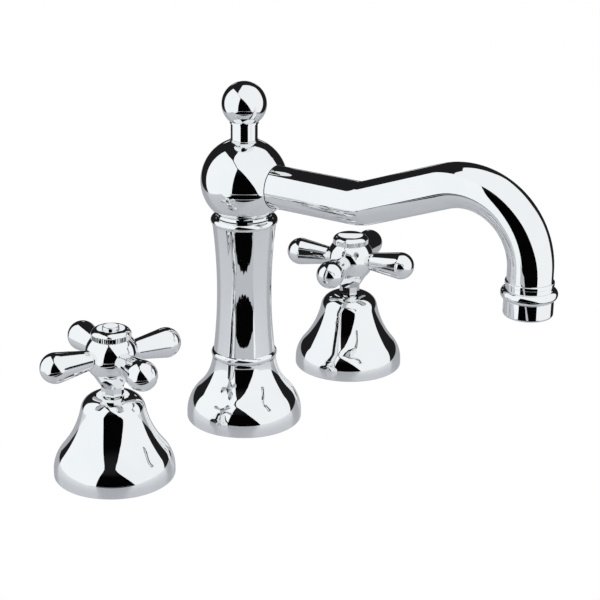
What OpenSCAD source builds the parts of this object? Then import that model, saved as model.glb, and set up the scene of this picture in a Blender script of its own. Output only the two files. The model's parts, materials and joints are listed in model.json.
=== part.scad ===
// Three-hole basin mixer tap: a turning spout on a column, between two cross-handle valves
// Millimetres. The deck's top is at zero height, the spout's axis is Z, and the front is -Y

/* [Set] */
// Sideways distance from the spout's axis to each valve's axis
valve_span = 93; // [80:1:120]
// How far the valves' axes stand behind the spout's axis
valve_back = 3; // [0:0.5:8]
// Thickness of the deck that the set is clamped to
deck_t = 20; // [12:1:30]

/* [Spout foot] */
// Radius of the foot at the deck
foot_r = 30; // [28:0.5:34]
// Height of the joint between the foot and the column
foot_h = 34.3; // [32:0.1:38]
// Height of the foot's upright edge
foot_edge_h = 3; // [2:0.5:4]
// Radius that the foot's curve narrows to
foot_neck_r = 16.4; // [16:0.1:17]
// Share of the foot's curve that bulges outwards
foot_bulge_share = 0.406; // [0.3:0.01:0.5]
// Wall of the foot's shell
foot_wall = 2.5; // [2:0.1:3]

/* [Column] */
// Height of the column's top face
column_h = 110.5; // [104:0.5:118]
// Radius of the column's waist
waist_r = 14; // [13.6:0.1:15]
// Height of the waist
waist_z = 71; // [66:1:76]
// Radius of the column's long inward curve
waist_curve_r = 285; // [250:5:400]
// Outer radius of the bead ring at each end of the column
bead_r = 17.1; // [16.8:0.1:18]
// Radius of the beads' rounded edge
bead_edge_r = 2.2; // [2.1:0.1:2.6]
// Half the height of a bead
bead_half_h = 2; // [1.6:0.1:2]

/* [Head] */
// Radius of the ball-shaped head
head_r = 22; // [20:0.5:24]
// Height of the head's centre above the column
head_rise = 18.5; // [18:0.1:20]
// Radius of the neck under the head
head_neck_r = 14.3; // [13.5:0.1:15]
// Wall of the head
head_wall = 3.5; // [3:0.1:4]
// Radius of the spigot that the head turns on
spigot_r = 11.5; // [11:0.1:12]
// Length of the spigot inside the column
spigot_l = 17.5; // [16:0.5:22]
// Swing of the spout to each side of straight ahead, in degrees
swing = 60; // [30:5:75]
// Turn of the spout to the cold side at rest, in degrees
spout_turn = 6.5; // [-10:0.5:10]

/* [Spout tube] */
// Outer radius of the tube
tube_r = 10.8; // [10:0.1:11.4]
// Wall of the tube
tube_wall = 1.5; // [1.2:0.1:2]
// Distance from the spout's axis to where the tube starts to rise
rise_x = 64.7; // [55:0.1:75]
// Bend radius where the tube starts to rise
rise_bend_r = 23; // [20:1:40]
// Length of the sloping run, measured level
slope_along = 40.95; // [30:0.05:60]
// Height that the sloping run gains
slope_up = 15.4; // [8:0.1:20]
// Bend radius where the tube turns down
drop_bend_r = 34; // [28:1:38]

/* [Outlet] */
// Length of straight tube above the outlet's collar
outlet_drop = 5.2; // [2:0.2:12]
// Radius of the collar round the tube's end
collar_r = 11.5; // [11.4:0.1:12]
// Height of the collar
collar_h = 1.8; // [1.5:0.1:3]
// Height of the band between the collar and the bead
collar_band_h = 1.9; // [1.4:0.1:3]
// Outer radius of the outlet's bead
outlet_bead_r = 13.4; // [13:0.1:15]
// Radius of the rounded edge of the outlet's bead
outlet_bead_edge_r = 2.6; // [2.6:0.1:3]
// Outer radius of the aerator's shell
aerator_r = 11.7; // [11.4:0.1:12]
// Height of the aerator's shell below the bead
aerator_h = 8.3; // [7:0.1:12]

/* [Lift knob] */
// Radius of the knob's ball
knob_r = 11.3; // [9:0.1:13]
// Height of the ball's centre above the head's bush
knob_rise = 17.9; // [16:0.1:22]
// Radius of the knob's neck
knob_neck_r = 6.8; // [6.2:0.1:7.2]
// How far the knob lifts
lift = 25; // [15:1:30]
// Radius of the lift rod
lift_rod_r = 2.5; // [2.2:0.1:2.6]

/* [Valve bells] */
// Radius of a bell at the deck
bell_foot_r = 29.7; // [28:0.5:34]
// Height of a bell
bell_h = 41.6; // [40:0.2:46]
// Height of a bell's upright edge
bell_edge_h = 3; // [2:0.5:4]
// Radius that a bell's curve narrows to
bell_neck_r = 14.8; // [14.4:0.1:15.6]
// Share of a bell's curve that bulges outwards
bell_bulge_share = 0.26; // [0.2:0.01:0.34]
// Radius of a bell's shoulder
bell_shoulder_r = 8; // [7:0.5:9]
// Wall of a bell
bell_wall = 2.5; // [2:0.1:3]

/* [Cross handles] */
// Turn of the cold handle's first arm from straight right, in degrees
arm_turn = 16.5; // [0:0.5:45]
// Gap between a bell and its handle
handle_gap = 0.7; // [0.5:0.1:1.5]
// Distance from a handle's axis to the centre of each ball end
arm_l = 29.8; // [27:0.1:36]
// Radius of the ball ends
arm_ball_r = 7.5; // [7:0.1:8.2]
// Radius of an arm's waist
arm_waist_r = 4.95; // [4.2:0.05:5.6]
// Distance from a handle's axis to the waist of its arms
arm_waist_d = 13; // [12:0.5:15]
// Radius of an arm where it leaves the hub
arm_root_r = 4.8; // [4.4:0.1:5.4]
// Height of the arms' axis above the handle's lower end
arm_rise = 20; // [19:0.2:24]
// Radius of the handle's round hub
hub_r = 13.2; // [13:0.1:13.5]

/* [Caps] */
// Radius of a cap's milled rim
cap_r = 9.8; // [9.6:0.1:11]
// Height of a cap's milled rim
cap_rim_h = 2.7; // [2:0.1:4]
// Radius at the foot of a cap's dome
cap_dome_r = 9.6; // [9:0.1:9.6]
// Height of a cap's dome
cap_dome_h = 1.9; // [1.5:0.1:2.5]
// Radius of the flat on top of a cap
cap_flat_r = 6.6; // [5.6:0.1:7]
// Radius of the index disc in the hot cap
index_r = 4.1; // [3:0.1:4.5]

/* [Hidden] */
$fn = 96;

// Clearances and overruns
fit_gap = 0.05;
run_gap = 0.05;
move_gap = 0.3;
cut = 0.5;

// Small edges
foot_round_r = 0.6;
edge_r = 0.4;

// Seals
seal_r = 0.88;
small_seal_r = 0.7;
gasket_t = 1.8;
gasket_hole_gap = 0.3;
groove_w = 2;

// Deck clamps, shared by the three units
clamp_gasket_t = 2.5;
clamp_washer_t = 2;
clamp_nut_h = 9;
clamp_width = 10;
nut_chamfer_share = 0.93;
nut_bevel = 1.2;
under_deck_z = -deck_t;
washer_z = under_deck_z - clamp_gasket_t;
nut_z = washer_z - clamp_washer_t;

// Foot: two arcs, tangent to each other and to the upright edge
foot_runout = 1.7;
foot_curve_h = foot_h + foot_runout;
foot_neck_wall = 1.85;
foot_bore_r = foot_neck_r - foot_neck_wall;
foot_bore_h = 14.3;
foot_bore_z = foot_h - foot_bore_h;

// Column
tail_r = foot_bore_r - fit_gap;
tail_h = 12.3;
column_bore_r = 9.5;
slide_ring_t = 1;
slide_ring_z = column_h - spigot_l - run_gap - slide_ring_t;
shank_r = 12;
shank_bore_r = 8.5;
shank_grip = 2.3;
shank_top_z = foot_h - shank_grip;
manifold_top_z = -44;
shank_grip_low = 8;
shank_z = manifold_top_z - shank_grip_low;
spout_nut_w = 36;

// Retaining screw, in the back of the column
stop_screw_r = 2;
stop_tip_r = 1.25;
stop_depth = 1.5;
stop_screw_recess = 0.5;
stop_below_top = 7;
stop_z = column_h - stop_below_top;
stop_hex_w = 2;
stop_hex_l = 2;
stop_gap_angle = asin((stop_tip_r + move_gap) / (spigot_r - stop_depth));

// Head
head_z = column_h + head_rise;
head_base_z = column_h + move_gap;
spigot_z = column_h - spigot_l;
spigot_bore_r = 8.5;
low_ring_share = 2.5;
high_ring_share = 6;
spigot_ring_zs = [spigot_z + low_ring_share * seal_r, spigot_z + high_ring_share * seal_r];
bush_flange_r = 7.2;
bush_flange_h = 0.8;
bush_r = 6.2;
bush_l = 8;
bush_z = head_z + sqrt(head_r * head_r - bush_flange_r * bush_flange_r);
bush_top_z = bush_z + bush_flange_h;
bush_ring_drop = 5;
head_roof_t = 6;
tube_start_share = 0.7;

// Tube: three straight runs and two bends, in the plane of its own axis
tube_bore_r = tube_r - tube_wall;
tube_start = head_r * tube_start_share;
slope_l = norm([slope_along, slope_up]);
rise_angle = atan2(slope_up, slope_along);
rise_end = [rise_x + rise_bend_r * slope_up / slope_l, rise_bend_r * (1 - slope_along / slope_l)];
drop_x = rise_end[0] + slope_along + drop_bend_r * slope_up / slope_l;
drop_up = rise_end[1] + slope_up - drop_bend_r * slope_along / slope_l;
reach = drop_x + drop_bend_r;

// Outlet
collar_top_z = head_z + drop_up - outlet_drop;
collar_socket_l = 2.5;
tube_end_z = collar_top_z - collar_socket_l + fit_gap;
collar_wall = 0.5;
band_r = tube_r + collar_wall;
outlet_bead_z = collar_top_z - collar_h - collar_band_h - outlet_bead_edge_r;
outlet_flat_share = 0.92;
outlet_base_z = outlet_bead_z - outlet_bead_edge_r * outlet_flat_share;
outlet_thread_r = 9.95;
outlet_thread_l = 4.2;
washer_seat_z = outlet_base_z + outlet_thread_l;
aerator_washer_t = 1;
aerator_washer_r = 7.5;
aerator_z = outlet_base_z - aerator_h;
aerator_edge_r = 1.2;
aerator_wall = 1.5;
aerator_stem_wall = 1.5;
aerator_floor_t = 1.8;
insert_recess = 0.7;
insert_step = 3;
insert_hole_r = 1.1;
insert_ring_share = 0.62;
insert_holes = 8;

// Lift rod and its guide tube
guide_wall = 1.05;
guide_bore_r = lift_rod_r + run_gap;
guide_r = guide_bore_r + guide_wall;
guide_top_drop = 0.5;
knob_z = bush_top_z + knob_rise;
knob_lip_r = 7.3;
knob_lip_h = 0.5;
knob_bore_share = 0.3;
rod_top_z = knob_z - knob_r * knob_bore_share;
rod_end_share = 0.8;
rod_end_r = rod_end_share * lift_rod_r;
rod_end_l = 26;
rod_spare = 4;

// Inlet manifold
manifold_w = 36;
manifold_d = 30;
manifold_h = 22;
manifold_z = manifold_top_z - manifold_h;
manifold_round_r = 3;
port_r = 5;
port_l = 9;
port_drop = 14.5;
port_z = manifold_top_z - port_drop;
port_way_r = 3.2;
chamber_floor_t = 3;
rod_end_z = manifold_z - lift - rod_spare;
rod_z = rod_end_z - rod_end_l;

// Valve below the deck; its headwork hangs below the boss of the bell
valve_shank_r = 13;
bell_top_t = 4.1;
boss_l = 9.5;
headwork_hex_h = 5;
headwork_gap = 5;
stem_top_z = bell_h - bell_top_t;
valve_top_z = stem_top_z - boss_l - headwork_hex_h - headwork_gap;
valve_block_r = 16.5;
valve_block_h = 22;
valve_block_z = manifold_top_z - valve_block_h;
nipple_r = 10.4;
nipple_l = 18;
nipple_z = valve_block_z - nipple_l;
nipple_bore_r = 7;
nipple_bore_l = 14;
inlet_r = 4.2;
outlet_way_r = 2.4;
outlet_way_d = 8.6;
port_boss_r = 8;
port_boss_l = 5;
port_face_d = valve_block_r + port_boss_l;
top_nut_h = 6;
valve_nut_w = 38;

// Headwork: seat, discs, windows and spindle
seat_z = -8;
seat_r = 6.2;
seat_drop = 6;
chamber_r = 11.4;
chamber_top_z = 6;
seat_seal_t = 2;
seat_seal_wall = 1.6;
barrel_r = 8.9;
barrel_z = seat_z + seat_seal_t;
disc_room_r = 7;
disc_room_top_z = 7;
window_r = 2;
window_z = 2.5;
fixed_disc_t = 2.7;
moving_disc_t = 2;
moving_disc_z = barrel_z + fixed_disc_t + run_gap;
disc_slot_l = 8;
disc_slot_w = 3;
disc_slot_deep = 1.2;
disc_port_span = 80;
disc_port_start = 5;
disc_core_share = 0.33;
headwork_hex_w = 24;
stem_r = 9;
spindle_r = 4;
spindle_hole_gap = 0.6;
drive_flange_r = 6.6;
drive_flange_t = 1.7;
drive_core_r = 5.2;
stop_rib_span = 180;
drive_gap_angle = asin(move_gap / drive_core_r);
low_drop_share = 10.8;
high_drop_share = 6.3;
spindle_ring_drops = [low_drop_share * seal_r, high_drop_share * seal_r];
spindle_grip = 15.5;

// Bell: the foot's construction, closed by a round shoulder
bell_runout = 2.8;
bell_curve_h = bell_h + bell_runout;

// Handle
handle_z = bell_h + handle_gap;
spindle_top_z = handle_z + spindle_grip;
web_t = 2.2;
cap_room_z = spindle_top_z + web_t;
cap_room_r = 7.4;
arm_z = handle_z + arm_rise;
hub_rise = 9.2;
cap_z = arm_z + hub_rise;
hub_drop = 8.5;
hub_base_z = arm_z - hub_drop;
hub_base_flat = 9.2;
handle_neck_flat = 5.1;
handle_neck_h = 4.2;
arm_root_d = 8.5;
screw_r = 1.95;
screw_hole_l = 10;
screw_head_r = 3.6;
screw_head_h = 2.4;
screw_hex_w = 3;
screw_hex_deep = 1.6;
grub_r = 1.45;
grub_drop = 3.4;
grub_z = cap_z - grub_drop;
grub_turn = 217;
grub_inner = 6.4;
grub_recess = 1.2;
grub_hex_w = 1.3;
grub_hex_deep = 1;
plug_l = 6.5;
plug_wall = 1.85;
cap_dimple_gap = 0.05;
index_deep = 0.9;
index_rise = 1.3;
index_edge_r = 0.6;

// Finishes
chrome = "silver";
brass = "goldenrod";
steel = "lightslategray";
rubber = "dimgray";
ceramic = "snow";
acetal = "ivory";

valve_names = ["bell", "gasket", "top_nut", "valve_body", "clamp_gasket", "clamp_washer", "backnut",
    "cartridge", "cartridge_seal", "fixed_disc", "moving_disc", "spindle", "spindle_o_rings",
    "handle", "handle_screw", "grub_screw", "cap"];

// Plain solids of revolution
module bar(r, z0, z1) {
    translate([0, 0, z0]) cylinder(h = z1 - z0, r = r);
}

module ring(r_out, r_in, z0, z1) {
    translate([0, 0, z0]) linear_extrude(z1 - z0) difference() {
        circle(r_out);
        circle(r_in);
    }
}

module o_ring(r_mid, r_section, z) {
    translate([0, 0, z]) rotate_extrude() translate([r_mid, 0]) circle(r_section);
}

// Half section of a turned ring whose outer edges are rounded
module turned_section(r_in, r_out, z0, z1, e0, e1) {
    polygon([[r_in, z0], [r_out - e0, z0], [r_out, z0 + e0],
        [r_out, z1 - e1], [r_out - e1, z1], [r_in, z1]]);
    translate([r_out - e0, z0 + e0]) circle(e0);
    translate([r_out - e1, z1 - e1]) circle(e1);
}

// Bar that points away from the axis at a height
module radial_bar(r, from, to, z, $fn = $fn) {
    translate([from, 0, z]) rotate([0, 90, 0]) cylinder(h = to - from, r = r);
}

module hexagon(width, z0, z1) {
    translate([0, 0, z0]) cylinder(h = z1 - z0, r = width / 2 / cos(30), $fn = 6);
}

// Nut with its corners turned off at both ends
module hex_nut(width, bore_r, z0, z1) {
    corner_r = width / 2 / cos(30);
    difference() {
        intersection() {
            hexagon(width, z0, z1);
            rotate_extrude() polygon([[0, z0],
                [corner_r * nut_chamfer_share, z0], [corner_r, z0 + nut_bevel],
                [corner_r, z1 - nut_bevel], [corner_r * nut_chamfer_share, z1], [0, z1]]);
        }
        bar(bore_r, z0 - cut, z1 + cut);
    }
}

// Half section of a flare: an upright edge, an arc outwards and an arc inwards, all tangent
module flare_section(r_foot, r_neck, z_edge, z_neck, r_out, r_in) {
    out_c = [r_foot - r_out, z_edge];
    in_c = [r_neck + r_in, z_neck];
    meet = out_c + (in_c - out_c) * r_out / (r_out + r_in);
    difference() {
        union() {
            polygon([[0, 0], [r_foot, 0], [r_foot, z_edge], meet, [r_neck, z_neck], [0, z_neck]]);
            intersection() {
                translate(out_c) circle(r_out);
                translate([0, z_edge]) square([r_foot, meet[1] - z_edge]);
            }
        }
        intersection() {
            translate(in_c) circle(r_in);
            translate([0, meet[1]]) square([r_foot, z_neck - meet[1] + cut]);
        }
    }
}

// Sum of the two arc radii that makes a flare tangent all the way
function flare_sum(drop, rise) = (drop * drop + rise * rise) / (2 * drop);
foot_arcs = flare_sum(foot_r - foot_neck_r, foot_curve_h - foot_edge_h);
bell_arcs = flare_sum(bell_foot_r - bell_neck_r, bell_curve_h - bell_edge_h);

// Rounds the lower outer edge of a flared shell
module foot_edge(r_foot) {
    difference() {
        translate([r_foot - foot_round_r, -cut]) square([foot_round_r + cut, foot_round_r + cut]);
        translate([r_foot - foot_round_r, foot_round_r]) circle(foot_round_r);
    }
}

module foot_section(wall) {
    flare_section(foot_r - wall, foot_neck_r - wall, foot_edge_h, foot_curve_h,
        foot_arcs * foot_bulge_share - wall, foot_arcs * (1 - foot_bulge_share) + wall);
}

module spout_base() {
    color(chrome) rotate_extrude() difference() {
        intersection() {
            foot_section(0);
            square([foot_r, foot_h]);
        }
        intersection() {
            foot_section(foot_wall);
            square([foot_r, foot_bore_z]);
        }
        translate([0, foot_bore_z - cut]) square([foot_bore_r, foot_bore_h + 2 * cut]);
        foot_edge(foot_r);
    }
}

module spout_gasket() {
    color(rubber) ring(foot_r - foot_wall - fit_gap, shank_r + gasket_hole_gap, 0, gasket_t);
}

// Outline of the column: a long inward curve between two beads
module column_section() {
    difference() {
        translate([0, foot_h + bead_half_h]) square([bead_r, column_h - foot_h - 2 * bead_half_h]);
        translate([waist_r + waist_curve_r, waist_z]) circle(waist_curve_r, $fn = 720);
    }
    intersection() {
        union() {
            translate([bead_r - bead_edge_r, foot_h + bead_half_h]) circle(bead_edge_r);
            translate([bead_r - bead_edge_r, column_h - bead_half_h]) circle(bead_edge_r);
        }
        translate([0, foot_h]) square([bead_r, column_h - foot_h]);
    }
    for (z = [foot_h, column_h - bead_half_h - cut])
        translate([0, z]) square([bead_r - bead_edge_r, bead_half_h + cut]);
    translate([0, foot_h - tail_h]) square([tail_r, tail_h + bead_half_h]);
}

module spout_column() {
    color(chrome) difference() {
        rotate_extrude() intersection() {
            column_section();
            square([bead_r, column_h]);
        }
        bar(shank_r + fit_gap, foot_h - tail_h - cut, shank_top_z);
        bar(column_bore_r, shank_top_z - cut, column_h);
        bar(spigot_r + run_gap, slide_ring_z, column_h + cut);
        rotate([0, 0, 90]) radial_bar(stop_screw_r + fit_gap, spigot_r, bead_r + cut, stop_z);
    }
}

module slide_ring() {
    color(acetal) ring(spigot_r, column_bore_r, slide_ring_z, slide_ring_z + slide_ring_t);
}

// Radius of the column's outside at a height
function column_r(z) = waist_r + waist_curve_r - sqrt(pow(waist_curve_r, 2) - pow(z - waist_z, 2));
stop_face = column_r(stop_z) - stop_screw_recess;

module retaining_screw() {
    color(steel) rotate([0, 0, 90]) difference() {
        union() {
            radial_bar(stop_tip_r, spigot_r - stop_depth, stop_face - cut, stop_z);
            radial_bar(stop_screw_r, spigot_r + run_gap + move_gap, stop_face, stop_z);
        }
        radial_bar(stop_hex_w / 2 / cos(30), stop_face - stop_hex_l, stop_face + cut, stop_z, $fn = 6);
    }
}

module spout_shank() {
    color(brass) ring(shank_r, shank_bore_r, shank_z, shank_top_z);
}

module clamp_gasket(r) {
    color(rubber) ring(r + clamp_width, r + gasket_hole_gap, washer_z, under_deck_z);
}

module clamp_washer(r) {
    color(steel) ring(r + clamp_width, r + gasket_hole_gap, nut_z, washer_z);
}

module clamp_nut(r, width) {
    color(brass) hex_nut(width, r + fit_gap, nut_z - clamp_nut_h, nut_z);
}

// Block under the shank, with a hose port on each side and a hole for the guide tube
module inlet_manifold() {
    chamber_r = shank_bore_r - fit_gap;
    color(brass) difference() {
        translate([0, 0, manifold_z]) linear_extrude(manifold_h) intersection() {
            square([manifold_w, manifold_d], center = true);
            circle(norm([manifold_w, manifold_d]) / 2 - manifold_round_r);
        }
        bar(shank_r + fit_gap, shank_z, manifold_top_z + cut);
        bar(chamber_r, manifold_z + chamber_floor_t, shank_z + cut);
        bar(guide_r + fit_gap, manifold_z - cut, manifold_top_z);
        bar(guide_r + 2 * small_seal_r + 3 * fit_gap, manifold_z + chamber_floor_t - 2 * small_seal_r,
            manifold_z + chamber_floor_t + cut);
        for (side = [0, 180]) rotate([0, 0, side]) {
            radial_bar(port_way_r, 0, manifold_w / 2, port_z);
            radial_bar(port_r, manifold_w / 2 - port_l, manifold_w / 2 + cut, port_z);
        }
    }
}

module manifold_seal() {
    color(rubber) o_ring(guide_r + small_seal_r + fit_gap, small_seal_r,
        manifold_z + chamber_floor_t - small_seal_r);
}

module guide_tube() {
    color(brass) ring(guide_r, guide_bore_r, manifold_z, bush_top_z - guide_top_drop);
}

// Turns what belongs to the spout from its own plane, where X points along it
module along_spout() {
    rotate([0, 0, spout_turn - 90]) children();
}

module swivel_head() {
    color(chrome) along_spout() difference() {
        union() {
            intersection() {
                translate([0, 0, head_z]) sphere(head_r);
                bar(head_r + cut, head_base_z, head_z + head_r + cut);
            }
            bar(head_neck_r, head_base_z, head_z - head_neck_r);
            bar(spigot_r, spigot_z, head_z - head_neck_r);
        }
        bar(head_r, bush_z, head_z + head_r + cut);
        bar(spigot_bore_r, spigot_z - cut, head_z);
        bar(bush_r + fit_gap, head_z, bush_z + cut);
        intersection() {
            translate([0, 0, head_z]) sphere(head_r - head_wall);
            bar(head_r, head_z - head_r, bush_z - head_roof_t);
        }
        radial_bar(tube_r + fit_gap, 0, head_r + cut, head_z);
        for (z = spigot_ring_zs)
            ring(spigot_r + cut, spigot_r - 2 * seal_r - fit_gap, z - groove_w / 2, z + groove_w / 2);
        rotate([0, 0, 180 - swing - stop_gap_angle]) translate([0, 0, stop_z])
            rotate_extrude(angle = 2 * (swing + stop_gap_angle))
                translate([spigot_r - stop_depth - move_gap, -stop_tip_r - move_gap])
                    square([stop_depth + move_gap + cut, 2 * (stop_tip_r + move_gap)]);
    }
}

module swivel_o_rings() {
    color(rubber) for (z = spigot_ring_zs) o_ring(spigot_r - seal_r, seal_r, z);
}

module knob_bush() {
    color(chrome) difference() {
        union() {
            bar(bush_r, bush_z - bush_l, bush_z + cut);
            rotate_extrude() turned_section(0, bush_flange_r, bush_z, bush_top_z, edge_r / 2, edge_r / 2);
        }
        bar(guide_r + run_gap, bush_z - bush_l - cut, bush_top_z + cut);
        ring(guide_r + run_gap + 2 * small_seal_r + fit_gap, guide_r,
            bush_z - bush_ring_drop - small_seal_r - fit_gap,
            bush_z - bush_ring_drop + small_seal_r + fit_gap);
    }
}

module guide_o_ring() {
    color(rubber) o_ring(guide_r + run_gap + small_seal_r, small_seal_r, bush_z - bush_ring_drop);
}

// Bend of the tube in the plane of its axis, round a centre
module tube_bend(c, bend_r, start, turn) {
    translate([c[0], 0, c[1]]) rotate([90, 0, 0]) rotate([0, 0, start]) rotate_extrude(angle = turn)
        translate([bend_r, 0]) difference() {
            circle(tube_r);
            circle(tube_bore_r);
        }
}

// Places what belongs to the sloping run, where X points up the slope
module on_slope() {
    translate([rise_end[0], 0, rise_end[1]]) rotate([0, -rise_angle, 0]) children();
}

// Each bend is cut off square to the sloping run, so that the runs meet face to face
module spout_tube() {
    color(chrome) along_spout() translate([0, 0, head_z]) {
        radial_ring(tube_start, rise_x);
        intersection() {
            tube_bend([rise_x, rise_bend_r], rise_bend_r, -90, 90);
            on_slope() translate([-reach, -reach / 2, -reach / 2]) cube(reach);
        }
        on_slope() radial_ring(0, slope_l);
        intersection() {
            tube_bend([drop_x, drop_up], drop_bend_r, 0, 180);
            on_slope() translate([slope_l, -reach / 2, -reach / 2]) cube(reach);
        }
        translate([reach, 0, 0]) ring(tube_r, tube_bore_r, tube_end_z - head_z, drop_up);
    }
}

// Straight run of the tube along X
module radial_ring(from, to) {
    translate([from, 0, 0]) rotate([0, 90, 0]) ring(tube_r, tube_bore_r, 0, to - from);
}

module at_outlet() {
    along_spout() translate([reach, 0, 0]) children();
}

module outlet_ring() {
    color(chrome) at_outlet() rotate_extrude() difference() {
        union() {
            turned_section(0, collar_r, collar_top_z - collar_h, collar_top_z, edge_r / 2, edge_r);
            square_up(band_r, outlet_bead_z, collar_top_z - edge_r);
            intersection() {
                translate([outlet_bead_r - outlet_bead_edge_r, outlet_bead_z]) circle(outlet_bead_edge_r);
                translate([0, outlet_base_z]) square([outlet_bead_r, 2 * outlet_bead_edge_r]);
            }
            translate([0, outlet_base_z])
                square([outlet_bead_r - outlet_bead_edge_r, outlet_bead_z - outlet_base_z]);
        }
        translate([0, outlet_base_z - cut]) square([outlet_thread_r, outlet_thread_l + cut]);
        translate([0, outlet_base_z]) square([tube_bore_r, collar_top_z - outlet_base_z]);
        translate([0, collar_top_z - collar_socket_l]) square([tube_r + fit_gap, collar_socket_l + cut]);
    }
}

module aerator_shell() {
    stem_r = outlet_thread_r - fit_gap;
    color(chrome) at_outlet() rotate_extrude() difference() {
        union() {
            turned_section(0, aerator_r, aerator_z, outlet_base_z, aerator_edge_r, edge_r / 2);
            square_up(stem_r, outlet_base_z - cut, washer_seat_z - aerator_washer_t);
        }
        square_up(aerator_r - aerator_wall, aerator_z - cut, outlet_base_z - aerator_floor_t);
        square_up(stem_r - aerator_stem_wall, aerator_z, washer_seat_z);
    }
}

// Half section of a plain bar, between two heights
module square_up(r, z0, z1) {
    translate([0, z0]) square([r, z1 - z0]);
}

// Water insert with a ring of jets and a stem
module aerator_insert() {
    insert_r = aerator_r - aerator_wall - fit_gap;
    color(acetal) at_outlet() difference() {
        union() {
            bar(insert_r, aerator_z + insert_recess, outlet_base_z - aerator_floor_t);
            bar(outlet_thread_r - aerator_stem_wall - 2 * fit_gap, aerator_z + insert_recess,
                outlet_base_z - aerator_floor_t + insert_step);
        }
        for (i = [0 : insert_holes - 1]) rotate([0, 0, i * 360 / insert_holes])
            translate([insert_r * insert_ring_share, 0, 0])
                bar(insert_hole_r, aerator_z, outlet_base_z + insert_step);
        bar(insert_hole_r, aerator_z, outlet_base_z + insert_step);
    }
}

module aerator_washer() {
    color(rubber) at_outlet() ring(outlet_thread_r - fit_gap, aerator_washer_r,
        washer_seat_z - aerator_washer_t, washer_seat_z);
}

module lift_knob() {
    color(chrome) difference() {
        union() {
            translate([0, 0, knob_z]) sphere(knob_r);
            bar(knob_neck_r, bush_top_z + run_gap, knob_z);
            bar(knob_lip_r, knob_z - sqrt(pow(knob_r, 2) - pow(knob_neck_r, 2)) - knob_lip_h,
                knob_z - knob_neck_r);
        }
        bar(lift_rod_r + fit_gap, bush_top_z, rod_top_z + fit_gap);
    }
}

module lift_rod() {
    color(steel) union() {
        bar(lift_rod_r, rod_end_z, rod_top_z);
        bar(rod_end_r, rod_z, rod_end_z + cut);
    }
}

// Places a cold valve's piece, or its mirror image on the hot side
module at_valve(side) {
    translate([side * valve_span, valve_back, 0]) mirror([side < 0 ? 1 : 0, 0, 0]) children();
}

// Half section of a bell's outside, or of its inside when a wall is taken off
module bell_section(wall) {
    out_r = bell_arcs * bell_bulge_share - wall;
    in_r = bell_arcs * (1 - bell_bulge_share) + wall;
    top_r = bell_shoulder_r - wall;
    in_c = [bell_neck_r + bell_arcs * (1 - bell_bulge_share), bell_curve_h];
    top_z = bell_h - bell_shoulder_r;
    top_c = [in_c[0] - sqrt(pow(in_r + top_r, 2) - pow(in_c[1] - top_z, 2)), top_z];
    meet = in_c + (top_c - in_c) * in_r / (in_r + top_r);
    intersection() {
        flare_section(bell_foot_r - wall, bell_neck_r - wall, bell_edge_h, bell_curve_h, out_r, in_r);
        square([bell_foot_r, meet[1]]);
    }
    intersection() {
        union() {
            translate(top_c) circle(top_r);
            translate([0, meet[1]]) square([top_c[0], top_z + top_r - meet[1]]);
        }
        translate([0, meet[1]]) square([bell_foot_r, bell_h]);
    }
}

module bell() {
    color(chrome) rotate_extrude() difference() {
        bell_section(0);
        intersection() {
            bell_section(bell_wall);
            square([bell_foot_r, stem_top_z - boss_l]);
        }
        square_up(stem_r + fit_gap, stem_top_z - boss_l - cut, stem_top_z + fit_gap);
        square_up(spindle_r + spindle_hole_gap, stem_top_z, bell_h + cut);
        foot_edge(bell_foot_r);
    }
}

module gasket() {
    color(rubber) ring(bell_foot_r - bell_wall - fit_gap, valve_shank_r + gasket_hole_gap, 0, gasket_t);
}

module top_nut() {
    color(brass) hex_nut(valve_nut_w, valve_shank_r + fit_gap, gasket_t, gasket_t + top_nut_h);
}

// Body through the deck: inlet up the middle, outlet down one side to the port
module valve_body() {
    color(brass) difference() {
        union() {
            bar(valve_shank_r, valve_block_z, valve_top_z);
            bar(valve_block_r, valve_block_z, manifold_top_z);
            bar(nipple_r, nipple_z, valve_block_z + cut);
            rotate([0, 0, 180])
                radial_bar(port_boss_r, outlet_way_d, port_face_d, valve_block_z + valve_block_h / 2);
        }
        bar(inlet_r, nipple_z, seat_z + cut);
        bar(nipple_bore_r, nipple_z - cut, nipple_z + nipple_bore_l);
        difference() {
            bar(chamber_r, seat_z - seat_drop, chamber_top_z);
            bar(seat_r, seat_z - seat_drop - cut, seat_z);
        }
        bar(barrel_r + fit_gap, chamber_top_z - cut, valve_top_z + cut);
        translate([-outlet_way_d, 0, 0])
            bar(outlet_way_r, valve_block_z + valve_block_h / 2, seat_z - seat_drop + cut);
        rotate([0, 0, 180]) {
            radial_bar(port_way_r, outlet_way_d, port_face_d, valve_block_z + valve_block_h / 2);
            radial_bar(port_r, port_face_d - port_l, port_face_d + cut, valve_block_z + valve_block_h / 2);
        }
    }
}

// Quarter-turn headwork: the barrel with its windows, a hexagon and the stem that holds the bell
module cartridge() {
    color(brass) difference() {
        union() {
            bar(barrel_r, barrel_z, valve_top_z + cut);
            hexagon(headwork_hex_w, valve_top_z, valve_top_z + headwork_hex_h);
            bar(stem_r, valve_top_z + headwork_hex_h - cut, stem_top_z);
        }
        difference() {
            bar(disc_room_r, barrel_z - cut, disc_room_top_z);
            rotate([0, 0, 180]) translate([0, 0, disc_room_top_z - drive_flange_t - 2 * move_gap])
                rotate_extrude(angle = stop_rib_span) translate([drive_core_r + move_gap, 0])
                    square([disc_room_r, drive_flange_t + 2 * move_gap + cut]);
        }
        bar(spindle_r + run_gap, disc_room_top_z - cut, stem_top_z + cut);
        for (side = [0 : 90 : 270]) rotate([0, 0, side + 45])
            radial_bar(window_r, drive_core_r, chamber_r, window_z);
    }
}

module cartridge_seal() {
    color(rubber) ring(seat_r - fit_gap, seat_r - seat_seal_wall, seat_z, seat_z + seat_seal_t);
}

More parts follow.
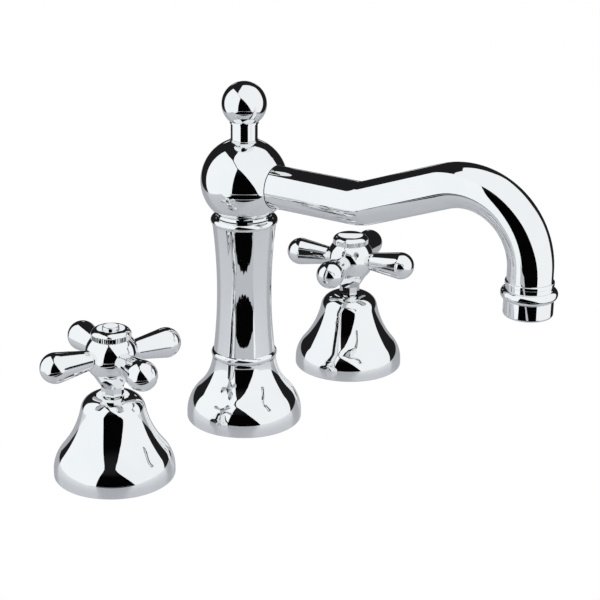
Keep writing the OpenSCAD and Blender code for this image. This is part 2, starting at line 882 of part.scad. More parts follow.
// Disc with two openings a quarter wide, opposite each other
module ported_disc(r, z0, z1, turn) {
    core_r = disc_core_share * spindle_r;
    difference() {
        bar(r, z0, z1);
        for (side = [0, 180]) rotate([0, 0, turn + side]) translate([0, 0, z0 - cut])
            rotate_extrude(angle = disc_port_span) translate([core_r, 0])
                square([seat_r - seat_seal_wall - core_r, z1 - z0 + 2 * cut]);
    }
}

module fixed_disc() {
    color(ceramic) ported_disc(disc_room_r - fit_gap, barrel_z, barrel_z + fixed_disc_t, disc_port_start);
}

module moving_disc() {
    color(ceramic) difference() {
        ported_disc(disc_room_r - move_gap, moving_disc_z, moving_disc_z + moving_disc_t,
            disc_port_start + 90);
        translate([0, 0, moving_disc_z + moving_disc_t - disc_slot_deep + cut])
            cube([disc_slot_w + 2 * fit_gap, disc_slot_l + 2 * fit_gap, 2 * disc_slot_deep], center = true);
    }
}

module spindle() {
    flange_z = disc_room_top_z - move_gap - drive_flange_t;
    tongue_z = moving_disc_z + moving_disc_t - disc_slot_deep / 2;
    color(brass) difference() {
        union() {
            bar(spindle_r, flange_z, spindle_top_z);
            bar(drive_core_r, flange_z, flange_z + drive_flange_t);
            rotate([0, 0, 90 + drive_gap_angle]) translate([0, 0, flange_z])
                rotate_extrude(angle = stop_rib_span / 2 - 2 * drive_gap_angle)
                    square([drive_flange_r, drive_flange_t]);
            translate([-disc_slot_w / 2, -disc_slot_l / 2, tongue_z])
                cube([disc_slot_w, disc_slot_l, flange_z - tongue_z + cut]);
        }
        bar(screw_r + fit_gap, spindle_top_z - screw_hole_l - cut, spindle_top_z + cut);
        for (drop = spindle_ring_drops)
            ring(spindle_r + cut, spindle_r - 2 * seal_r - fit_gap,
                stem_top_z - drop - groove_w / 2, stem_top_z - drop + groove_w / 2);
    }
}

module spindle_o_rings() {
    color(rubber) for (drop = spindle_ring_drops) o_ring(spindle_r - seal_r, seal_r, stem_top_z - drop);
}

// Half section of an arm: a slim root, a cone tangent to the ball end, and the ball
module arm_section() {
    run = arm_l - arm_waist_d;
    lean = asin(arm_ball_r / norm([run, arm_waist_r])) - atan2(arm_waist_r, run);
    touch = [arm_ball_r * cos(lean), arm_l - arm_ball_r * sin(lean)];
    polygon([[0, 0], [arm_root_r, 0], [arm_root_r, arm_root_d],
        [arm_waist_r, arm_waist_d], touch, [0, touch[1]]]);
    intersection() {
        translate([0, arm_l]) circle(arm_ball_r);
        square([arm_ball_r, arm_l + arm_ball_r]);
    }
}

// Frustum with eight flat sides, from one half width to another
module octagon_taper(flat0, flat1, z0, z1) {
    intersection_for(turn = [0 : 45 : 135]) rotate([90, 0, turn])
        linear_extrude(2 * (flat1 + cut), center = true)
            polygon([[-flat0, z0], [flat0, z0], [flat1, z1], [-flat1, z1]]);
}

module handle() {
    neck_top_z = handle_z + handle_neck_h;
    color(chrome) rotate([0, 0, arm_turn]) difference() {
        union() {
            intersection() {
                translate([0, 0, arm_z]) sphere(hub_r);
                bar(hub_r + cut, hub_base_z, cap_z);
            }
            octagon_taper(handle_neck_flat, hub_base_flat, neck_top_z, hub_base_z);
            translate([0, 0, handle_z]) rotate([0, 0, 22.5])
                cylinder(h = handle_neck_h + cut, r = handle_neck_flat / cos(22.5), $fn = 8);
            translate([0, 0, arm_z]) for (turn = [0 : 90 : 270]) rotate([0, 90, turn])
                rotate_extrude() arm_section();
        }
        bar(spindle_r + fit_gap, handle_z - cut, spindle_top_z);
        bar(screw_r + 2 * fit_gap, spindle_top_z - cut, cap_room_z + cut);
        bar(cap_room_r, cap_room_z, cap_z + cut);
        rotate([0, 0, grub_turn]) radial_bar(grub_r + fit_gap, cap_room_r - cut, hub_r, grub_z);
    }
}

module handle_screw() {
    color(steel) difference() {
        union() {
            bar(screw_r, spindle_top_z - screw_hole_l, cap_room_z + cut);
            bar(screw_head_r, cap_room_z, cap_room_z + screw_head_h);
        }
        hexagon(screw_hex_w, cap_room_z + screw_head_h - screw_hex_deep, cap_room_z + screw_head_h + cut);
    }
}

module grub_screw() {
    face = sqrt(pow(hub_r, 2) - pow(grub_z - arm_z, 2)) - grub_recess;
    color(steel) rotate([0, 0, arm_turn + grub_turn]) difference() {
        radial_bar(grub_r, grub_inner, face, grub_z);
        radial_bar(grub_hex_w / 2 / cos(30), face - grub_hex_deep, face + cut, grub_z, $fn = 6);
    }
}

// Cap: a milled rim under a low dome with a flat top, on a plug that screws into the handle
module cap(index_hole_r) {
    dome_z = cap_z + cap_rim_h;
    dome_run = cap_dome_r - cap_flat_r;
    dome_curve_r = (pow(dome_run, 2) + pow(cap_dome_h, 2)) / (2 * cap_dome_h);
    plug_r = cap_room_r - fit_gap;
    color(chrome) difference() {
        rotate_extrude() difference() {
            union() {
                turned_section(0, cap_r, cap_z, dome_z, edge_r / 2, edge_r / 2);
                intersection() {
                    translate([cap_flat_r, dome_z + cap_dome_h - dome_curve_r]) circle(dome_curve_r);
                    translate([cap_flat_r - cut, dome_z - edge_r])
                        square([dome_run + cut, cap_dome_h + edge_r]);
                }
                translate([0, dome_z - edge_r]) square([cap_flat_r, cap_dome_h + edge_r]);
                square_up(plug_r, cap_z - plug_l, cap_z + edge_r);
            }
            square_up(plug_r - plug_wall, cap_z - plug_l - cut, cap_z);
            if (index_hole_r > 0)
                square_up(index_hole_r, dome_z + cap_dome_h - index_deep, dome_z + cap_dome_h + cut);
        }
        rotate([0, 0, arm_turn + grub_turn])
            radial_bar(grub_r + fit_gap, grub_inner - cap_dimple_gap, cap_room_r, grub_z);
    }
}

module index() {
    index_z = cap_z + cap_rim_h + cap_dome_h;
    color("firebrick") rotate_extrude()
        turned_section(0, index_r, index_z - index_deep, index_z + index_rise, edge_r / 2, index_edge_r);
}

spout_base();
spout_gasket();
spout_column();
slide_ring();
retaining_screw();
spout_shank();
clamp_gasket(shank_r);  // spout_clamp_gasket
clamp_washer(shank_r);  // spout_clamp_washer
clamp_nut(shank_r, spout_nut_w);  // spout_nut
inlet_manifold();
manifold_seal();
guide_tube();
swivel_head();
swivel_o_rings();
knob_bush();
guide_o_ring();
spout_tube();
outlet_ring();
aerator_shell();
aerator_insert();
aerator_washer();
lift_knob();
lift_rod();
at_valve(-1) index();  // hot_index
at_valve(-1) bell();  // hot_bell
at_valve(-1) gasket();  // hot_gasket
at_valve(-1) top_nut();  // hot_top_nut
at_valve(-1) valve_body();  // hot_valve_body
at_valve(-1) clamp_gasket(valve_shank_r);  // hot_clamp_gasket
at_valve(-1) clamp_washer(valve_shank_r);  // hot_clamp_washer
at_valve(-1) clamp_nut(valve_shank_r, valve_nut_w);  // hot_backnut
at_valve(-1) cartridge();  // hot_cartridge
at_valve(-1) cartridge_seal();  // hot_cartridge_seal
at_valve(-1) fixed_disc();  // hot_fixed_disc
at_valve(-1) moving_disc();  // hot_moving_disc
at_valve(-1) spindle();  // hot_spindle
at_valve(-1) spindle_o_rings();  // hot_spindle_o_rings
at_valve(-1) handle();  // hot_handle
at_valve(-1) handle_screw();  // hot_handle_screw
at_valve(-1) grub_screw();  // hot_grub_screw
at_valve(-1) cap(index_r + fit_gap);  // hot_cap
at_valve(1) bell();  // cold_bell
at_valve(1) gasket();  // cold_gasket
at_valve(1) top_nut();  // cold_top_nut
at_valve(1) valve_body();  // cold_valve_body
at_valve(1) clamp_gasket(valve_shank_r);  // cold_clamp_gasket
at_valve(1) clamp_washer(valve_shank_r);  // cold_clamp_washer
at_valve(1) clamp_nut(valve_shank_r, valve_nut_w);  // cold_backnut
at_valve(1) cartridge();  // cold_cartridge
at_valve(1) cartridge_seal();  // cold_cartridge_seal
at_valve(1) fixed_disc();  // cold_fixed_disc
at_valve(1) moving_disc();  // cold_moving_disc
at_valve(1) spindle();  // cold_spindle
at_valve(1) spindle_o_rings();  // cold_spindle_o_rings
at_valve(1) handle();  // cold_handle
at_valve(1) handle_screw();  // cold_handle_screw
at_valve(1) grub_screw();  // cold_grub_screw
at_valve(1) cap(0);  // cold_cap
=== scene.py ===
# %% [markdown]
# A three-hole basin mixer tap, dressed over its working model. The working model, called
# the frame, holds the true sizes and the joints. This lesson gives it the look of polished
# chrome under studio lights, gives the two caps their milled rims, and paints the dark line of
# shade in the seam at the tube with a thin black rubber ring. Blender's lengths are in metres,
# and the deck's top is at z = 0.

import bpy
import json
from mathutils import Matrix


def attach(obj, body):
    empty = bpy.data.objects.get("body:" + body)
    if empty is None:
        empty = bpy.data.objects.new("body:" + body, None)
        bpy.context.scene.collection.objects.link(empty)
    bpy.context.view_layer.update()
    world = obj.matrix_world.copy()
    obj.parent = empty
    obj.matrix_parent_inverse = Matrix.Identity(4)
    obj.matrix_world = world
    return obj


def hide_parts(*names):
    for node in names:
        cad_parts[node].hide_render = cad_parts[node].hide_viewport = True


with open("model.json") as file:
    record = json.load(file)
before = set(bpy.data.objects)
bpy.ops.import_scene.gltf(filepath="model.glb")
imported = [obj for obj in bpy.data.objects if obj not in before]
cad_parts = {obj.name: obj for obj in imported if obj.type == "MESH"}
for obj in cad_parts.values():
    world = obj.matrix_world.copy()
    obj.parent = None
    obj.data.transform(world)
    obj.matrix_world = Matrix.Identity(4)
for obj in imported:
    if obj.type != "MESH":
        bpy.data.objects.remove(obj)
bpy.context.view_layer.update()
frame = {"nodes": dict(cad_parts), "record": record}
print("pieces in the frame:", len(frame["nodes"]))

# %% Tools used all through the lesson
import json
import math

import bpy
from mathutils import Matrix, Vector

MM = 0.001


# %% [markdown]
# The camera stands where the photographer stood: in front and to the left, a little above
# the handles, with a lens of about 104 mm. Its place was worked out from the ellipses of the
# three round feet, so that every edge falls on the same pixel as in the photograph.

# %% Camera
TURN, TILT, ROLL = (math.radians(a) for a in (-50.824, 20.685, 0.687))
LOOK_AT = Vector((28.55, -13.85, 60)) * MM
DISTANCE = 905.38 * MM
FOCAL_PIXELS, PICTURE_PIXELS, SENSOR_WIDTH = 1726.9, 600, 36

back = Vector((math.sin(TURN) * math.cos(TILT), -math.cos(TURN) * math.cos(TILT), math.sin(TILT)))
right = Vector((math.cos(TURN), math.sin(TURN), 0))
up = back.cross(right)
rolled_right = right * math.cos(ROLL) + up * math.sin(ROLL)
rolled_up = up * math.cos(ROLL) - right * math.sin(ROLL)

camera_data = bpy.data.cameras.new("camera")
camera_data.sensor_width = SENSOR_WIDTH
camera_data.lens = FOCAL_PIXELS / PICTURE_PIXELS * SENSOR_WIDTH
camera_data.clip_start = 10 * MM
camera = bpy.data.objects.new("camera", camera_data)
bpy.context.scene.collection.objects.link(camera)
place = Matrix((rolled_right, rolled_up, back)).transposed().to_4x4()
place.translation = LOOK_AT + back * DISTANCE
camera.matrix_world = place
bpy.context.scene.camera = camera
print("camera at", [round(v / MM) for v in place.translation], "mm")

# %% [markdown]
# Shader maths soon becomes a thicket of little boxes. A small class wraps a socket, so that
# a mask can be written as a line of arithmetic, and one method makes every other node.


# %% A socket that does arithmetic
class Wire:
    """The output of a node. Plain arithmetic on it adds Math nodes."""

    def __init__(self, tree, socket):
        self.tree, self.socket = tree, socket

    def node(self, kind, settings=(), out=0, **values):
        """Adds a node beside this one, as add_node does."""
        return add_node(self.tree, kind, settings, out, **values)

    def math(self, operation, *inputs):
        node = self.tree.nodes.new("ShaderNodeMath")
        node.operation = operation
        for socket, value in zip(node.inputs, inputs):
            plug(self.tree, socket, value)
        return Wire(self.tree, node.outputs[0])

    def __add__(self, other): return self.math("ADD", self, other)
    def __radd__(self, other): return self.math("ADD", other, self)
    def __mul__(self, other): return self.math("MULTIPLY", self, other)
    def __rmul__(self, other): return self.math("MULTIPLY", other, self)


def plug(tree, socket, value):
    """Links a wire to a socket, or sets the socket's own value."""
    if isinstance(value, Wire):
        tree.links.new(value.socket, socket)
    else:
        socket.default_value = value


def add_node(tree, kind, settings=(), out=0, **values):
    """A node of any type: its settings first, then its sockets' values or wires. A socket is named
    with _ for a space, or numbered as i0, i1 and so on. Returns the output of that number."""
    node = tree.nodes.new(kind)
    for name, setting in dict(settings).items():
        setattr(node, name, setting)
    for name, value in values.items():
        by_number = name[0] == "i" and name[1:].isdigit()
        socket = node.inputs[int(name[1:])] if by_number else node.inputs[name.replace("_", " ")]
        plug(tree, socket, value)
    return Wire(tree, node.outputs[out]) if node.outputs else None


def smooth(value, low, high):
    """0 below low, 1 above high, and a soft step between."""
    settings = {"interpolation_type": "SMOOTHSTEP"}
    return value.node("ShaderNodeMapRange", settings, Value=value, From_Min=low, From_Max=high)


def blend(factor, first, second):
    """A colour between two colours, by a factor from 0 to 1."""
    tree = next(v.tree for v in (factor, first, second) if isinstance(v, Wire))
    return add_node(tree, "ShaderNodeMix", {"data_type": "RGBA"}, 2, i0=factor, i6=first, i7=second)


def along(where, line):
    """How far a place or a direction reaches along a line."""
    return where.node("ShaderNodeVectorMath", {"operation": "DOT_PRODUCT"}, 1, i0=where, i1=line)


print("wires ready")

# %% [markdown]
# Chrome has no colour of its own: it shows the room. The room of this photograph was read
# back from the reflections in the balls and bells. A tall softbox stands at the left, and a
# second, wider one hangs over the right side with a slanting lower edge. The black gap
# between them draws the dark band down the front of every bell. Both stand only half a metre
# away, so each ball and bell sees them from another side. That is why they are built as
# sheets at their real distance, and not painted on a far sky.
#
# A direction is written as two angles, seen from the middle of the spout's ball: degrees to
# the camera's right of the camera, and degrees above the deck.

# %% Directions of the studio
TOWARDS_CAMERA = math.atan2(back.y, back.x)
BALL_Z = 129
STUDIO_CENTRE = Vector((0, 0, BALL_Z)) * MM


def direction(across, above):
    """Unit vector at degrees to the camera's right of the camera, and degrees above the deck."""
    across, above = math.radians(across) + TOWARDS_CAMERA, math.radians(above)
    level = math.cos(above)
    return Vector((level * math.cos(across), level * math.sin(across), math.sin(above)))


def station(across, above, distance):
    """A point of the studio, by its direction and its distance in millimetres."""
    return STUDIO_CENTRE + direction(across, above) * distance * MM


print("camera's direction:", round(math.degrees(TOWARDS_CAMERA), 1), "degrees")


# %% Shining sheets
LEFT_LIGHT, RIGHT_LIGHT = (0.985, 1.02, 1.035), (0.965, 0.99, 1.0)
CARD_WHITE, BOARD_GREY = (0.93, 0.95, 0.97), (0.53, 0.545, 0.57)
CARD_DISTANCE = 420


def glowing(name, color, strength=1.0):
    """A material that only shines."""
    material = bpy.data.materials.new(name)
    material.use_nodes = True
    material.node_tree.nodes.clear()
    light = add_node(material.node_tree, "ShaderNodeEmission", Color=(*color, 1), Strength=strength)
    add_node(material.node_tree, "ShaderNodeOutputMaterial", Surface=light)
    return material


def shining_sheet(name, color, corners, faces):
    """A shining sheet of these faces, which the camera itself doesn't see."""
    mesh = bpy.data.meshes.new(name)
    mesh.from_pydata(corners, [], faces)
    piece = bpy.data.objects.new(name, mesh)
    bpy.context.scene.collection.objects.link(piece)
    mesh.materials.append(glowing(name, color))
    piece.visible_camera = piece.visible_shadow = False
    return piece


def panel(name, color, middle, corners):
    """A softbox whose middle and corners are given as directions and distances."""
    rim = [(i + 1, (i + 1) % len(corners) + 1) for i in range(len(corners))]
    points = [station(*place) for place in [middle] + corners]
    return shining_sheet(name, color, points, [(0, i, j) for i, j in rim])


def card(name, low, high, left, right):
    """An upright white card behind the tap. It lies between two heights, and between two
    distances to the camera's right, all in millimetres."""
    behind = direction(180, 0) * CARD_DISTANCE * MM
    corners = [behind + direction(90, 0) * side * MM + Vector((0, 0, height)) * MM
               for height in (low, high) for side in (left, right)]
    return shining_sheet(name, CARD_WHITE, corners, [(0, 1, 3, 2)])


def ring_strip(name, rows):
    """A thin grey strip in front of the spout. Each row gives an angle to either side, then the
    radius and height in millimetres of the strip's one edge there, and of its other edge."""
    angles = [(-row[0], row) for row in reversed(rows[1:])] + [(row[0], row) for row in rows]
    corners = [(direction(turn, 0) * row[i] + Vector((0, 0, row[i + 1]))) * MM
               for turn, row in angles for i in (1, 3)]
    faces = [(i, i + 1, i + 3, i + 2) for i in range(0, len(corners) - 2, 2)]
    return shining_sheet(name, BOARD_GREY, corners, faces)


print("sheets can be hung")

# %% Softboxes
left_box = panel("left_softbox", LEFT_LIGHT, (-72, 16, 580), [
    (-126, 46.5, 640), (-110, 54, 590), (-90, 58.5, 560), (-60, 60, 520), (-50, 57.6, 505),
    (-21.4, 43.6, 505), (-24, 30, 505), (-28, 0, 510), (-30.6, -20, 530), (-33, -24.5, 545),
    (-40, -28, 580), (-50, -30, 620), (-80, -30, 740), (-108, -28, 860), (-113, -17, 860),
    (-118, 10, 850), (-121, 30, 760)])
right_box = panel("right_softbox", RIGHT_LIGHT, (70, 50, 520), [
    (-50, 59.4, 330), (-20.6, 45.4, 430), (-9, 40, 480), (0, 33, 522), (15, 16.5, 620),
    (30, -6, 695), (38, -20, 735), (43, -25, 740), (52, -27.5, 740), (75, -28, 640),
    (97, -27, 590), (106, -12, 610), (120, 22.5, 720), (129, 33, 760), (141, 40.5, 840),
    (148.5, 49.5, 900), (-170, 62, 900), (-120, 76, 620), (-90, 75, 440), (-75, 70.5, 380),
    (-60, 64.5, 340)])
print("softboxes:", left_box.name, right_box.name)

# %% [markdown]
# Two white cards stand behind. They are what the flat tops of the two caps show. In front,
# just past the table, lie two thin grey strips. The waisted column is a hollow mirror that
# magnifies them: they part the black on its front into an upper and a lower patch.

# %% Cards behind, strips in front
low_card = card("low_back_card", 183, 216, 30, 90)
high_card = card("high_back_card", 246, 290, -150, -85)
board_edge = ring_strip("board_edge", [
    (0, 193.2, 0.5, 200.5, 0.5), (12, 192.5, 0.5, 201.1, 0.5), (24, 191, 0.5, 202.2, 0.5),
    (31, 189, 0.5, 203, 0.5), (38, 186, 0.5, 205, 0.5)])
far_edge = ring_strip("far_edge", [
    (0, 450, -37, 450, -43.5), (11, 450, -37, 450, -44.7), (17, 450, -37, 450, -46.6),
    (23, 450, -37, 450, -50.7), (29, 450, -37, 450, -55.7), (36, 450, -37, 450, -62.6)])
print("cards and strips:", low_card.name, high_card.name, board_edge.name, far_edge.name)

# %% [markdown]
# Beyond these sheets the room is dark, and darkest straight ahead, where the black cloth
# round the camera hangs. The camera itself sees plain white, as the photograph was printed.

# %% The room as a world
DIM_ROOM, BLACK_CLOTH = (0.014, 0.014, 0.015, 1), (0.0012, 0.0012, 0.0013, 1)
PLAIN_WHITE = (1, 1, 1, 1)
CLOTH_EDGE, CLOTH_MIDDLE = 0.1, 0.7
CLOTH_TOP, CLOTH_BELOW = 0.75, 0.45

world = bpy.data.worlds.new("studio")
world.use_nodes = True
bpy.context.scene.world = world
sky = world.node_tree
sky.nodes.clear()
ray = add_node(sky, "ShaderNodeTexCoord")
height_z = add_node(sky, "ShaderNodeSeparateXYZ", {}, 2, Vector=ray)
facing = along(ray, direction(0, 0))
cloth = smooth(facing, CLOTH_EDGE, CLOTH_MIDDLE) * smooth(height_z, CLOTH_TOP, CLOTH_BELOW)
glow = blend(cloth, DIM_ROOM, BLACK_CLOTH)
seen_by_camera = add_node(sky, "ShaderNodeLightPath")
shown = blend(seen_by_camera, glow, PLAIN_WHITE)
room = add_node(sky, "ShaderNodeBackground", Color=shown, Strength=1.0)
add_node(sky, "ShaderNodeOutputWorld", Surface=room)
bpy.context.scene.view_settings.view_transform = "Standard"
print("world nodes:", len(sky.nodes))

# %% [markdown]
# The tap stands on a pale table. The camera sees it as plain white, which is how the
# photograph was printed, while the chrome reflects its true light grey. The table ends a
# hand's breadth in front of the spout, where the reflections show a straight edge and then
# the dark. It has a slight gloss, so it is lighter where it mirrors a softbox.

# %% Table
TABLE_FRONT, TABLE_LEFT, TABLE_RIGHT = 0.157, -0.277, 0.25
FRONT_BLUR, SIDE_BLUR = 0.001, 0.02
FLOOR_SIZE, FLOOR_Z = 6, -0.0002
TABLE_GREY, TABLE_GLOW = (0.2, 0.205, 0.215, 1), (0.325, 0.335, 0.355, 1)

bpy.ops.object.select_all(action="DESELECT")
bpy.ops.mesh.primitive_plane_add(size=FLOOR_SIZE, location=(0, 0, FLOOR_Z))
table = bpy.context.active_object
table.name = "table"

pale = bpy.data.materials.new("pale_table")
pale.use_nodes = True
tree = pale.node_tree
tree.nodes.clear()
spot = add_node(tree, "ShaderNodeTexCoord", {}, 3)
forwards, sideways = along(spot, direction(0, 0)), along(spot, direction(90, 0))
on_table = smooth(forwards, TABLE_FRONT + FRONT_BLUR, TABLE_FRONT - FRONT_BLUR)
on_table = on_table * smooth(sideways, TABLE_LEFT - SIDE_BLUR, TABLE_LEFT + SIDE_BLUR)
on_table = on_table * smooth(sideways, TABLE_RIGHT + SIDE_BLUR, TABLE_RIGHT - SIDE_BLUR)
top = add_node(tree, "ShaderNodeBsdfPrincipled", Base_Color=TABLE_GREY, Roughness=0.3, IOR=2.0,
               Emission_Color=TABLE_GLOW, Emission_Strength=1.0)
beyond = add_node(tree, "ShaderNodeBsdfTransparent")
white = add_node(tree, "ShaderNodeEmission", Color=PLAIN_WHITE, Strength=1.0)
real = add_node(tree, "ShaderNodeMixShader", i0=on_table, i1=beyond, i2=top)
seen_by_camera = add_node(tree, "ShaderNodeLightPath")
surface = add_node(tree, "ShaderNodeMixShader", i0=seen_by_camera, i1=real, i2=white)
add_node(tree, "ShaderNodeOutputMaterial", Surface=surface)
table.data.materials.append(pale)
print("table:", table.name)

# %% [markdown]
# A finish is built once and given to every piece that has it. Polished chrome is nearly a
# mirror: what makes it real is a slight waviness left by the polishing wheel, and a faint
# film that dulls it in patches. The waves are longer on turned pieces than on cast ones.


# %% A material to start from
def new_material(name):
    """An empty material, with its tree and the coordinates that are fixed to the object."""
    material = bpy.data.materials.new(name)
    material.use_nodes = True
    tree = material.node_tree
    tree.nodes.clear()
    return material, tree, add_node(tree, "ShaderNodeTexCoord", {}, 3)


def noise(where, scale, detail=2.0, roughness=0.5):
    """Soft random value between 0 and 1. Scale counts its waves in a metre."""
    return where.node("ShaderNodeTexNoise", Vector=where, Scale=scale, Detail=detail,
                      Roughness=roughness)


def stretched(where, x=1.0, y=1.0, z=1.0):
    """Coordinates scaled unevenly, so that a pattern is drawn out along an axis."""
    return where.node("ShaderNodeMapping", Vector=where, Scale=(x, y, z))


def surface_of(tree, color, roughness, bump, depth, metallic=0.0, coat=0.0):
    """Closes a material with one Principled shader and a bump of the given depth in metres."""
    normal = add_node(tree, "ShaderNodeBump", Strength=1.0, Distance=depth, Height=bump)
    shader = add_node(tree, "ShaderNodeBsdfPrincipled", Base_Color=color, Roughness=roughness,
                      Metallic=metallic, Coat_Weight=coat, Normal=normal)
    add_node(tree, "ShaderNodeOutputMaterial", Surface=shader)


print("finishes can be built")


# %% Polished chrome
def chrome_finish(name, wave_mm, wave_depth_mm):
    """Chrome over polished brass, with waves of a given length and depth."""
    material, tree, where = new_material(name)
    waves = noise(where, 1000 / wave_mm, 1.0)
    film = smooth(noise(where, 45, 3.0, 0.6), 0.42, 0.72)
    specks = smooth(noise(where, 900, 2.0), 0.66, 0.74)
    color = blend(film, (0.885, 0.89, 0.895, 1), (0.862, 0.87, 0.88, 1))
    dullness = 0.008 + film * 0.012 + specks * 0.02
    surface_of(tree, color, dullness, waves, wave_depth_mm * MM, metallic=1.0)
    return material


turned_chrome = chrome_finish("turned_chrome", 16, 0.006)
cast_chrome = chrome_finish("cast_chrome", 8, 0.006)
print("chrome:", turned_chrome.name, cast_chrome.name)


# %% [markdown]
# The hidden half of the set is bare metal, rubber and plastic. Turned brass shows fine
# rings round its axis and a warm, uneven tarnish. Stainless steel is greyer, with streaks
# along the rod. The rubber is matt and slightly grainy, and the ceramic discs are lapped.


# %% Brass, steel, rubber, acetal and ceramic
def brass_finish():
    material, tree, where = new_material("turned_brass")
    rings = noise(stretched(where, 60, 60, 5200), 1.0, 2.0)
    tarnish = smooth(noise(where, 70, 4.0, 0.6), 0.38, 0.68)
    color = blend(tarnish, (0.80, 0.60, 0.31, 1), (0.62, 0.43, 0.20, 1))
    surface_of(tree, color, 0.17 + tarnish * 0.16 + rings * 0.06, rings, 0.00001, metallic=1.0)
    return material


def steel_finish():
    material, tree, where = new_material("drawn_steel")
    streaks = noise(stretched(where, 2600, 2600, 90), 1.0, 3.0)
    color = blend(streaks, (0.68, 0.69, 0.70, 1), (0.56, 0.57, 0.585, 1))
    surface_of(tree, color, 0.12 + streaks * 0.12, streaks, 0.000006, metallic=1.0)
    return material


def rubber_finish():
    material, tree, where = new_material("black_rubber")
    grain = noise(where, 2400, 3.0)
    bloom = smooth(noise(where, 120, 3.0), 0.45, 0.75)
    color = blend(bloom, (0.016, 0.016, 0.018, 1), (0.045, 0.045, 0.048, 1))
    surface_of(tree, color, 0.52 + bloom * 0.2 + grain * 0.08, grain, 0.00003)
    return material


def acetal_finish():
    material, tree, where = new_material("white_acetal")
    grain = noise(where, 1500, 2.0)
    shade = noise(where, 160, 2.0)
    color = blend(shade, (0.80, 0.81, 0.80, 1), (0.70, 0.71, 0.70, 1))
    surface_of(tree, color, 0.3 + grain * 0.12, grain, 0.000012)
    return material


def ceramic_finish():
    material, tree, where = new_material("lapped_ceramic")
    specks = smooth(noise(where, 2200, 2.0), 0.6, 0.7)
    color = blend(specks, (0.86, 0.85, 0.81, 1), (0.74, 0.73, 0.70, 1))
    surface_of(tree, color, 0.08 + specks * 0.15, specks, 0.000002, coat=0.3)
    return material


FINISH = {
    "chrome": turned_chrome, "index": turned_chrome, "brass": brass_finish(),
    "steel": steel_finish(), "rubber": rubber_finish(), "acetal": acetal_finish(),
    "ceramic": ceramic_finish(),
}
print("finishes:", sorted(FINISH))

# %% [markdown]
# The shapes of the working model stay as they are. Each piece takes the finish of its slot in
# the record, but for two kinds. The handles are cast, and a bright ring of each spindle shows
# under its handle, which the photograph doesn't show as yellow brass.

# %% Give every piece of the frame its finish
slots = {part["node"]: part["material_slot"] for part in frame["record"]["subparts"]}


def finish_of(name):
    """The finish of a piece of the frame, by the piece's name."""
    if name.endswith("_handle"):
        return cast_chrome
    if name.endswith("_spindle"):
        return turned_chrome
    return FINISH[slots[name]]


for name, piece in frame["nodes"].items():
    piece.data.materials.clear()
    piece.data.materials.append(finish_of(name))
print("pieces with a finish:", len(slots))

# %% [markdown]
# The rim of each cap is milled with fine upright grooves, so that it can be screwed off by
# hand. The ring of a cap's foot is drawn first and pushed up in steps, each with its own
# radius, until the top closes. The same ring is then pushed down into the plug that screws
# into the handle. Every third point of the rim is pulled inwards at the end, which turns the
# smooth rim into a row of small teeth.

# %% Milled caps
CAP_FOOT_Z, CAP_RIM_R, CAP_DOME_R, CAP_FLAT_R, CAP_TOP_Z = 71.5, 9.8, 9.6, 6.6, 76.1
CAP_SHOULDER_Z, CAP_PLUG_R, CAP_BORE_R, CAP_PLUG_Z = 74.2, 7.35, 5.5, 65.0
RIM_CHAMFER, RIM_TOP_CHAMFER, INDEX_SEAT_R, INDEX_SEAT_DEEP = 0.2, 0.25, 4.15, 0.9
VALVE_X, VALVE_Y = 93, 3
TEETH, POINTS_PER_TOOTH, TOOTH_DEPTH, DOME_STEPS = 68, 3, 0.3, 10
RIM_POINTS = TEETH * POINTS_PER_TOOTH
SHARP_EDGE = math.radians(20)


def select_points(piece, wanted):
    """In edit mode, leaves just these points selected."""
    bpy.ops.object.mode_set(mode="OBJECT")
    chosen = set(wanted)
    mesh = piece.data
    for point in mesh.vertices:
        point.select = point.index in chosen
    for edge in mesh.edges:
        edge.select = edge.vertices[0] in chosen and edge.vertices[1] in chosen
    for face in mesh.polygons:
        face.select = False
    bpy.ops.object.mode_set(mode="EDIT")


def push_ring(axis, radius, height, steps):
    """Extrudes the selected ring through a list of radii and heights, and fills the last one."""
    for next_radius, next_height in steps:
        step_up = (0, 0, (next_height - height) * MM)
        bpy.ops.mesh.extrude_region_move(TRANSFORM_OT_translate={"value": step_up})
        ratio = next_radius / radius
        bpy.ops.transform.resize(value=(ratio, ratio, 1), center_override=axis)
        radius, height = next_radius, next_height
    bpy.ops.mesh.edge_face_add()


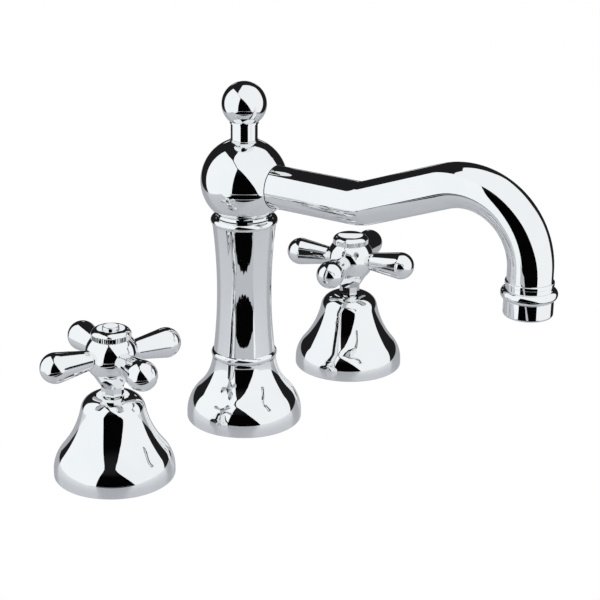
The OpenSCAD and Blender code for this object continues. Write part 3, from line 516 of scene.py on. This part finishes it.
def milled_cap(name, across, hole_r):
    """A cap with a milled rim over a valve. Its top has a round seat for an index, unless hole_r
    is 0."""
    axis = Vector((across, VALVE_Y, 0)) * MM
    foot = axis + Vector((0, 0, CAP_FOOT_Z)) * MM
    bpy.ops.object.select_all(action="DESELECT")
    bpy.ops.mesh.primitive_circle_add(vertices=RIM_POINTS, radius=CAP_DOME_R * MM,
                                      fill_type="NOTHING", location=foot)
    piece = bpy.context.active_object
    piece.name = name
    bpy.ops.object.mode_set(mode="EDIT")
    bpy.ops.mesh.select_all(action="SELECT")
    run, rise = CAP_DOME_R - CAP_FLAT_R, CAP_TOP_Z - CAP_SHOULDER_Z
    curve_r = (run ** 2 + rise ** 2) / (2 * rise)
    steep = math.asin(run / curve_r)
    slopes = [steep * (1 - i / DOME_STEPS) for i in range(DOME_STEPS + 1)]
    dome = [(CAP_FLAT_R + curve_r * math.sin(slope), CAP_TOP_Z - curve_r * (1 - math.cos(slope)))
            for slope in slopes]
    seat = [(hole_r, CAP_TOP_Z), (hole_r, CAP_TOP_Z - INDEX_SEAT_DEEP)] if hole_r else []
    rim = [(CAP_RIM_R, CAP_FOOT_Z + RIM_CHAMFER), (CAP_RIM_R, CAP_SHOULDER_Z - RIM_TOP_CHAMFER)]
    plug_and_bore = [(CAP_PLUG_R, CAP_FOOT_Z), (CAP_PLUG_R, CAP_PLUG_Z),
                     (CAP_BORE_R, CAP_PLUG_Z), (CAP_BORE_R, CAP_FOOT_Z)]
    push_ring(axis, CAP_DOME_R, CAP_FOOT_Z, rim + dome + seat)
    select_points(piece, range(RIM_POINTS))
    push_ring(axis, CAP_DOME_R, CAP_FOOT_Z, plug_and_bore)
    select_points(piece, range(RIM_POINTS, 3 * RIM_POINTS, POINTS_PER_TOOTH))
    ratio = 1 - TOOTH_DEPTH / CAP_RIM_R
    bpy.ops.transform.resize(value=(ratio, ratio, 1), center_override=axis)
    bpy.ops.mesh.select_all(action="SELECT")
    bpy.ops.mesh.normals_make_consistent(inside=False)
    bpy.ops.object.mode_set(mode="OBJECT")
    bpy.ops.object.transform_apply(location=True, rotation=True, scale=True)
    bpy.ops.object.shade_smooth_by_angle(angle=SHARP_EDGE)
    piece.data.materials.append(turned_chrome)
    return piece


hot_cap = milled_cap("hot_milled_cap", -VALVE_X, INDEX_SEAT_R)
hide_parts("hot_cap")
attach(hot_cap, "hot_handle")
cold_cap = milled_cap("cold_milled_cap", VALVE_X, 0)
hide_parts("cold_cap")
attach(cold_cap, "cold_handle")
print("caps:", [len(cap.data.polygons) for cap in (hot_cap, cold_cap)], "faces")

# %% [markdown]
# Where the tube is let into the ball of the head, a fine dark line of shade shows in the seam.
# It is painted with a thin ring of black rubber. The tube points at the middle of the ball, so
# that line is a true ring.

# %% Painted shadow line round the tube
BALL_R, TUBE_R, LINE_R, SPOUT_TURN = 22, 10.8, 0.22, math.radians(6.5)
tube_direction = Vector((math.sin(SPOUT_TURN), -math.cos(SPOUT_TURN), 0))
ring_middle = STUDIO_CENTRE + tube_direction * math.sqrt(BALL_R ** 2 - TUBE_R ** 2) * MM
bpy.ops.object.select_all(action="DESELECT")
bpy.ops.mesh.primitive_torus_add(major_radius=TUBE_R * MM, minor_radius=LINE_R * MM,
                                 major_segments=96, minor_segments=12, location=ring_middle,
                                 rotation=tube_direction.to_track_quat("Z", "Y").to_euler())
seam_shadow = bpy.context.active_object
seam_shadow.name = "tube_seam_shadow"
bpy.ops.object.transform_apply(location=True, rotation=True, scale=True)
bpy.ops.object.shade_smooth()
# The black rubber on this ring paints the shadow line of the seam.
seam_shadow.data.materials.append(FINISH["rubber"])
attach(seam_shadow, "spout")
print("sealant at", [round(v / MM, 1) for v in ring_middle])
